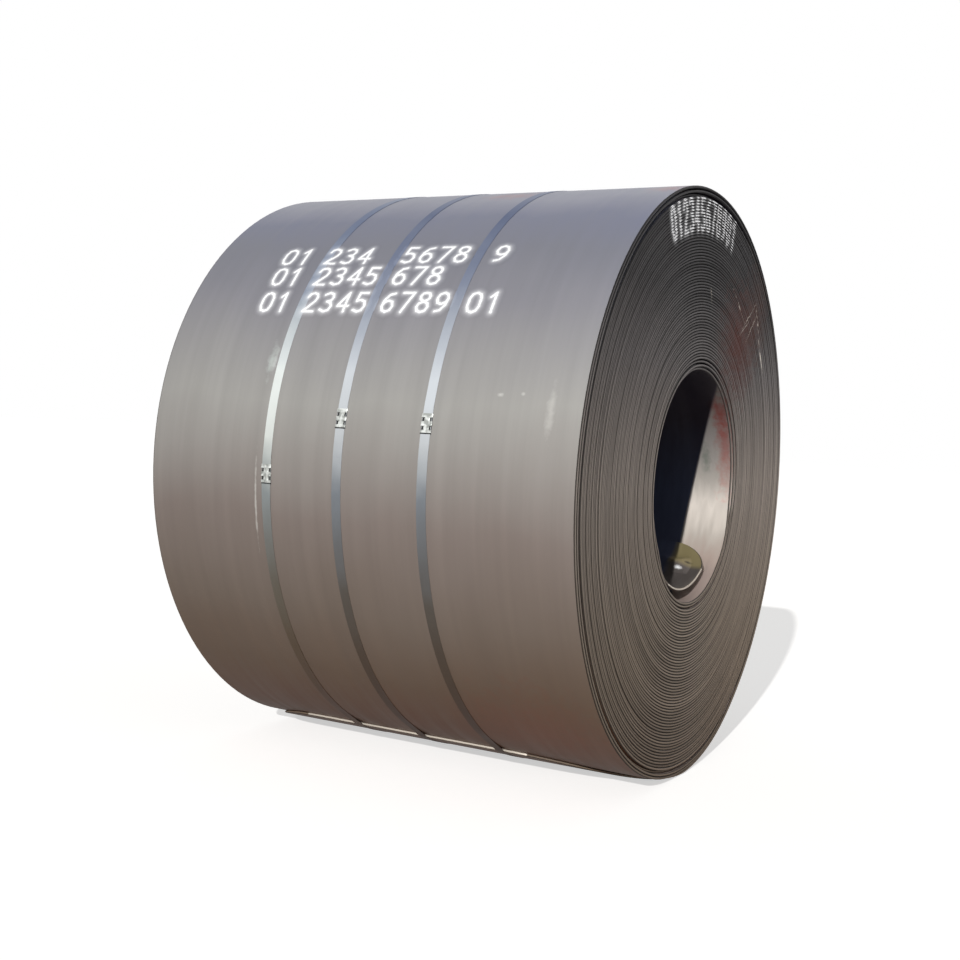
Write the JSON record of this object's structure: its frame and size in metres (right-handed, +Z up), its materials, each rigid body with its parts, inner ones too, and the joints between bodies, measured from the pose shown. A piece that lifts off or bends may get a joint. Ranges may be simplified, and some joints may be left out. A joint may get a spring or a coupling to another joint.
{
  "type": "steel coil",
  "caption": "Hot-rolled steel strip wound into a heavy coil with a central bore, lying on its round side and held by steel straps with crimped seals.",
  "frame": {"origin": "centre of the bore, half way along the coil", "axes": "+Y along the coil's axis away from the marked end, +Z up as the coil lies, +X away from the side with the strap seals"},
  "size_m": [1.9519, 1.5025, 1.9581],
  "materials": {
    "hot_rolled_steel": "smooth grey mill scale with a soft sheen, browner low down",
    "strap_steel": "bright steel strapping, blue-grey",
    "seal_steel": "bright folded sheet, crimped"
  },
  "bodies": {
    "root": {"steel_coil": "hot_rolled_steel", "strap_1": "strap_steel", "strap_2": "strap_steel", "strap_3": "strap_steel", "strap_seal_1": "seal_steel", "strap_seal_2": "seal_steel", "strap_seal_3": "seal_steel"}
  },
  "joints": []
}
